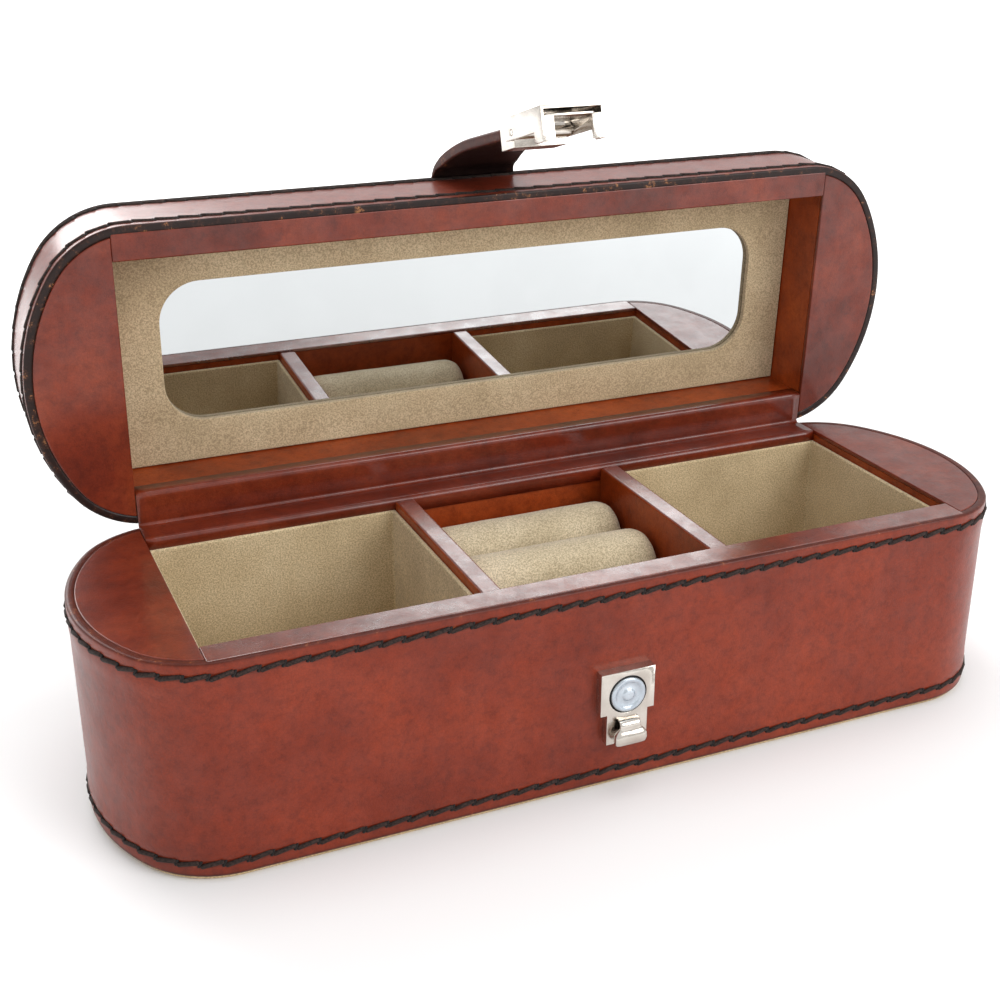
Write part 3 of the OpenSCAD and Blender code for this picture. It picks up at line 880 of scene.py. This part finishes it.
# %% Metal parts
def eased_copy(name, node, material, width):
    """A node's copy with whole faces and eased edges."""
    mesh = frame["nodes"][node].data.copy()
    work = bmesh.new()
    work.from_mesh(mesh)
    bmesh.ops.remove_doubles(work, verts=work.verts, dist=0.003 * MM)
    bmesh.ops.dissolve_limit(work, angle_limit=math.radians(1.0), verts=work.verts,
                             edges=work.edges)
    work.to_mesh(mesh)
    work.free()
    mesh.name = name
    mesh.materials.clear()
    mesh.materials.append(material)
    for face in mesh.polygons:
        face.use_smooth = True
    return round_edges(linked(name, mesh), width, 3, 30)


for name, node, material, body, slot, width in (
        ("lock_plate_metal", "lock_plate", nickel, "base", "nickel", 0.3 * MM),
        ("clamp_metal", "strap_clamp", nickel, "strap", "nickel", 0.25 * MM),
        ("pin_metal", "clasp_pin", nickel, "strap", "nickel", 0.2 * MM),
        ("cap_metal", "clasp_cap", nickel, "clasp_lever", "nickel", 0.22 * MM),
        ("catch_spring_metal", "catch_spring", nickel, "clasp_lever", "nickel", 0.15 * MM)):
    place(eased_copy(name, node, material, width), body, slot, node)
print("lock plate and clasp done")

# %% [markdown]
# ### Rivet and hook
# The rivet is spun: a rounded ring, a shallow dish and a raised middle. A dark ring painted
# round its foot stands in for the shade in the gap where it meets the plate. The hook is a wide
# tab bent out of the plate, with a full rounded nose.

# %% Rivet
rivet_low, rivet_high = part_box("lock_rivet")
rivet_x, rivet_z = (rivet_low.x + rivet_high.x) / 2, (rivet_low.z + rivet_high.z) / 2
plate_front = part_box("lock_plate")[0].y


def spun(name, profile, material, around=48):
    """A profile of (radius, out) spun about the rivet's axis, closed at both ends."""
    vertices = []
    for radius, out in profile:
        for k in range(around):
            angle = 2 * math.pi * k / around
            vertices.append((rivet_x + radius * MM * math.cos(angle), plate_front - out * MM,
                             rivet_z + radius * MM * math.sin(angle)))
    return new_piece(name, vertices, ring_faces(len(profile), around), material)


rivet = spun("lock_rivet_metal", [
    (4.7, -2.9), (4.7, 0.0), (4.65, 0.3), (4.45, 0.52), (4.1, 0.6), (3.7, 0.52), (3.4, 0.3),
    (3.1, 0.14), (2.5, 0.08), (1.9, 0.12), (1.65, 0.26), (1.5, 0.5), (1.25, 0.66), (0.9, 0.72),
    (0.4, 0.72), (0.12, 0.7)], zinc)
place(rivet, "base", "rivet", "lock_rivet")
# A dark ring painted round the rivet's foot stands in for the shade in the gap at the plate.
shade_ring = spun("rivet_shade_ring", [(5.05, -2.9), (5.05, -0.25), (4.5, -0.3), (4.5, -2.9)], hole_shade)
place(shade_ring, "base", "rivet")

# %% Hook
hook_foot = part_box("lock_hook")[0].z


def hook_mesh(name):
    """A bent tab: it leaves the plate, turns out and down, and ends in a fat rounded nose."""
    # (out, up, half width, half thickness) in millimetres, first the tab and then its nose
    tab = [(-0.3, 6.7, 2.8, 0.45), (0.5, 6.7, 2.8, 0.45), (1.3, 6.4, 2.8, 0.45),
           (1.75, 5.7, 2.8, 0.45), (1.75, 5.0, 2.8, 0.5), (1.65, 4.5, 3.1, 0.6)]
    nose = [(1.7, 3.9, 3.8, 0.95), (1.9, 3.2, 4.3, 1.2), (2.0, 2.0, 4.45, 1.25),
            (1.9, 0.8, 4.3, 1.15), (1.6, 0.05, 3.7, 0.6)]
    vertices, around = [], 20
    for out, up, half, deep in tab + nose:
        for k in range(around):
            angle = 2 * math.pi * k / around
            c, s = math.cos(angle), math.sin(angle)
            x = half * MM * math.copysign(abs(c) ** 0.35, c)
            d = deep * MM * math.copysign(abs(s) ** 0.6, s)
            vertices.append((rivet_x + x, plate_front - out * MM - d, hook_foot + up * MM))
    return new_piece(name, vertices, ring_faces(len(tab + nose), around), nickel)


place(hook_mesh("lock_hook_metal"), "base", "nickel", "lock_hook")
print("rivet and hook done")

# %% [markdown]
# ## Strap
# The strap leaves the lid under its top panel, sweeps over and hangs stiff towards the clasp.
# Its grain side is outside. Its flesh side is dark. Its cut edges are inked.

# %% Strap
ROOT = Vector((0, -HALF_W - 0.3 * MM, LID_FOOT - 0.6 * MM))
STRAP_W, STRAP_END_W, STRAP_LENGTH = 24 * MM, 14 * MM, 40 * MM
STRAP_T, STRAP_ROOT_T = 3 * MM, 1.2 * MM
# lengths along the strap in millimetres: its first bend, its long sweep, the clamp, its end
ROOT_BEND, SWEEP_END, CLAMP_START, STRAP_STOP = 3.5, 23.5, 40, 46.5


def strap_lean(s):
    """Angle from upright at a length s along the strap, in degrees."""
    if s < ROOT_BEND:
        return 80 - 42 * s / ROOT_BEND
    if s < SWEEP_END:
        return 38 - 19.5 * (s - ROOT_BEND) / (SWEEP_END - ROOT_BEND)
    return 18.5


def strap_mesh(name):
    """Sections across the strap, from its root to inside the clamp, with the lid shut."""
    vertices, shades = [], []
    out, up, s, step = 0.0, 0.0, 0.0, 1.0
    sections = []
    while s <= STRAP_STOP:
        lean = math.radians(strap_lean(s))
        sections.append((s, out, up, lean))
        out += step * math.sin(lean)
        up -= step * math.cos(lean)
        s += step
    for s, out, up, lean in sections:
        centre = ROOT + Vector((0, -out * MM, up * MM))
        outward = Vector((0, -math.cos(lean), math.sin(lean)))
        share = min(s * MM / STRAP_LENGTH, 1)
        half = (STRAP_W + (STRAP_END_W - STRAP_W) * share) / 2
        if s > CLAMP_START:
            half = 6.2 * MM
        thick = min(STRAP_T, STRAP_ROOT_T + s * MM / 4) / 2
        soft = min(0.55 * MM, thick * 0.6)
        ring = []
        for across, deep in ((-1, 1), (1, 1), (1, -1), (-1, -1)):
            corner = []
            for a, d in ((0, soft), (soft * 0.3, soft * 0.3), (soft, 0)):
                corner.append((across * (half - a), deep * (thick - d)))
            ring += corner if across * deep < 0 else corner[::-1]
        flat = [(k / 4 * (half - soft), thick) for k in range(-3, 4)]
        loop = ring[0:3] + flat + ring[3:9] + [(x, -d) for x, d in reversed(flat)] + ring[9:12]
        for x, d in loop:
            vertices.append(centre + Vector((x, 0, 0)) + outward * d)
            shades.append(0.75 if abs(x) > half - 0.9 * MM else 0.0)
    faces = ring_faces(len(sections), len(vertices) // len(sections))
    piece = new_piece(name, vertices, faces, wall_leather, ink_and_shade_levels=shades)
    piece.data.materials.append(strap_leather)
    return piece


strap = strap_mesh("strap_leather_tongue")
for face in strap.data.polygons:
    if face.normal.z - face.normal.y < -0.5 and abs(face.normal.x) < 0.5:
        face.material_index = 1
strap.data.transform(opened)
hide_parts("strap_tongue")
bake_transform(strap)
print("strap:", len(strap.data.polygons), "faces")

# %% [markdown]
# ## Stitching
# The bands are sewn with thick waxed thread, two needles to a hole, so each stitch slants a
# little and dips into an awl hole at each end, where a dark mark is painted as the hole's shade.
# A row is a path with one stitch laid at each step, which is just what Geometry Nodes do: sample
# the path evenly, put a stitch on every sample turned along the path, vary each a little by a
# fixed seed, and make them real.

# %% The stitch tree
def stitch_tree():
    """Lays capsules of thread along a curve, each turned along it and leaning a little."""
    tree = bpy.data.node_groups.new("stitch_row", "GeometryNodeTree")
    face = tree.interface
    face.new_socket("Geometry", in_out="OUTPUT", socket_type="NodeSocketGeometry")
    face.new_socket("Geometry", in_out="INPUT", socket_type="NodeSocketGeometry")
    for name, kind, value in (
            ("Stitches", "NodeSocketInt", 100), ("Length", "NodeSocketFloat", 0.004),
            ("Thread", "NodeSocketFloat", 0.001), ("Slant", "NodeSocketFloat", 0.1),
            ("Unevenness", "NodeSocketFloat", 0.05), ("Seed", "NodeSocketInt", 1)):
        face.new_socket(name, in_out="INPUT", socket_type=kind).default_value = value
    face.new_socket("Material", in_out="INPUT", socket_type="NodeSocketMaterial")
    source = add(tree, "NodeGroupInput").outputs
    samples = add(tree, "GeometryNodeResampleCurve",
                  {"Curve": source["Geometry"], "Count": source["Stitches"]})
    tangent = add(tree, "GeometryNodeInputTangent").outputs["Tangent"]
    facing = add(tree, "FunctionNodeAlignEulerToVector", {"Vector": tangent}, axis="X",
                 pivot_axis="Z")
    half = combine(tree, "MULTIPLY", source["Length"], 0.5)
    radius = combine(tree, "MULTIPLY", source["Thread"], 0.5)
    ball = add(tree, "GeometryNodeMeshUVSphere", {"Segments": 8, "Rings": 5, "Radius": radius})
    turned = add(tree, "GeometryNodeTransform",
                 {"Geometry": ball.outputs["Mesh"], "Rotation": (0, math.pi / 2, 0)})
    where = add(tree, "GeometryNodeInputPosition").outputs[0]
    parts = add(tree, "ShaderNodeSeparateXYZ", {0: where}).outputs
    straight = combine(tree, "SUBTRACT", half, radius)
    push = combine(tree, "MULTIPLY", combine(tree, "SIGN", parts["X"]), straight)
    offset = add(tree, "ShaderNodeCombineXYZ", {"X": push})
    capsule = add(tree, "GeometryNodeSetPosition",
                  {"Geometry": turned.outputs[0], "Offset": offset.outputs[0]})
    wander = add(tree, "FunctionNodeRandomValue", data_type="FLOAT")
    minus = combine(tree, "MULTIPLY", source["Unevenness"], -1.0)
    tree.links.new(minus, wander.inputs[2])
    tree.links.new(source["Unevenness"], wander.inputs[3])
    tree.links.new(source["Seed"], wander.inputs[8])
    lean = combine(tree, "ADD", source["Slant"], wander.outputs[1])
    tilt = add(tree, "ShaderNodeCombineXYZ", {"Y": lean})
    rotation = add(tree, "FunctionNodeRotateEuler",
                   {"Rotation": facing.outputs[0], "Rotate By": tilt.outputs[0]},
                   rotation_type="EULER", space="LOCAL")
    laid = add(tree, "GeometryNodeInstanceOnPoints",
               {"Points": samples.outputs[0], "Instance": capsule.outputs[0],
                "Rotation": rotation.outputs[0]})
    real = add(tree, "GeometryNodeRealizeInstances", {"Geometry": laid.outputs[0]})
    coloured = add(tree, "GeometryNodeSetMaterial",
                   {"Geometry": real.outputs[0], "Material": source["Material"]})
    add(tree, "NodeGroupOutput", {"Geometry": coloured.outputs[0]})
    return tree


stitches = stitch_tree()
socket_ids = {item.name: item.identifier for item in stitches.interface.items_tree
              if item.item_type == "SOCKET" and item.in_out == "INPUT"}
print("stitch tree inputs:", ", ".join(socket_ids))

# %% Rows of stitches
PITCH = 5.6 * MM


def row_curve(name, out, z, phase):
    """A closed path round the wall, set out from it, that starts a phase along."""
    curve = bpy.data.curves.new(name, "CURVE")
    curve.dimensions = "3D"
    start = next(i for i, p in enumerate(outline_points) if p[2] > phase)
    (a, out_a, from_a), (b, out_b, from_b) = outline_points[start - 1], outline_points[start]
    share = (phase - from_a) / (from_b - from_a)
    first = (a.lerp(b, share), out_a.lerp(out_b, share).normalized(), phase)
    points = [point + outward * out + Vector((0, 0, z)) for point, outward, _ in
              [first] + outline_points[start:] + outline_points[:start]]
    line = curve.splines.new("POLY")
    line.points.add(len(points) - 1)
    for knot, point in zip(line.points, points):
        knot.co = (*point, 1)
    line.use_cyclic_u = True
    return linked(name, curve)


def sewn_row(name, out, z, phase, values):
    """Stitches along a row as a plain mesh piece."""
    holder = row_curve(name + "_path", out, z, phase)
    maker = holder.modifiers.new("stitches", "NODES")
    maker.node_group = stitches
    for key, value in values.items():
        maker[socket_ids[key]] = value
    ready = holder.evaluated_get(bpy.context.evaluated_depsgraph_get())
    mesh = bpy.data.meshes.new_from_object(ready)
    mesh.name = name
    bpy.data.objects.remove(holder)
    return linked(name, mesh)


count = round(outline_length / PITCH)
SLANT = 0.21  # radians
rows = [("base_low_stitches", BASE_ROWS[0], -SLANT, "base", None),
        ("base_rim_stitches", BASE_ROWS[1], -SLANT, "base", None),
        ("lid_rim_stitches", LID_ROWS[0], SLANT, "lid", opened),
        ("lid_top_stitches", LID_ROWS[1], SLANT, "lid", opened)]
for seed, (name, z, slant, body, turn) in enumerate(rows):
    row = sewn_row(name, -0.12 * MM, z, 0.0, {
        "Stitches": count, "Length": 5.7 * MM, "Thread": 1.25 * MM, "Slant": slant,
        "Unevenness": 0.05, "Seed": seed + 3, "Material": waxed_thread})
    place(row, body, "tan_leather", turn=turn)
    for face in row.data.polygons:
        face.use_smooth = True
    # Dark marks between the stitches are painted shade in the awl holes.
    holes = sewn_row(name.replace("stitches", "holes"), -0.1 * MM, z, PITCH / 2, {
        "Stitches": count, "Length": 2.0 * MM, "Thread": 0.8 * MM, "Slant": slant * 5.5,
        "Unevenness": 0.1, "Seed": seed + 11, "Material": hole_shade})
    place(holes, body, "tan_leather", turn=turn)
print(f"{len(rows)} rows of {count} stitches")

# %% [markdown]
# ## What stays as it is
# Boards inside the carcass, the leather round the well and the recess and the mirror are plain
# flat shapes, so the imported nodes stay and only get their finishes.

# %% Dressing the nodes
def dress(material, *nodes):
    """Puts a finish on nodes that stay."""
    for node in nodes:
        piece = frame["nodes"][node]
        for slot in piece.material_slots:
            slot.material = material


dress(board_finish, "base_board", "front_core", "back_core", "left_end_core",
      "right_end_core", "lid_board", "lid_front_core", "lid_back_core", "lid_left_core",
      "lid_right_core")
dress(well_leather, "well_facing", "lid_facing")
dress(lining_suede, "middle_floor")
dress(mirror_glass, "mirror")
dress(strap_leather, "strap_root")

# %% [markdown]
# ## Floor
# The case stands on a pale floor that glows a little further away, so it fades into the white
# surround with no horizon.

# %% Floor
pale_floor, tree, shader, coords = new_finish("pale_floor", Roughness=0.7)
shader.inputs["Base Color"].default_value = (0.93, 0.93, 0.93, 1)
shader.inputs["Emission Color"].default_value = (1, 1, 1, 1)
away = add(tree, "ShaderNodeVectorMath", {0: coords}, operation="LENGTH").outputs["Value"]
join(tree, shader, Emission_Strength=remap(tree, away, 0.3, 0.9, 0.0, 0.6))
floor = box_piece("floor", (-3, -3, -0.02), (3, 3, 0), pale_floor)
for face in floor.data.polygons:
    face.use_smooth = False
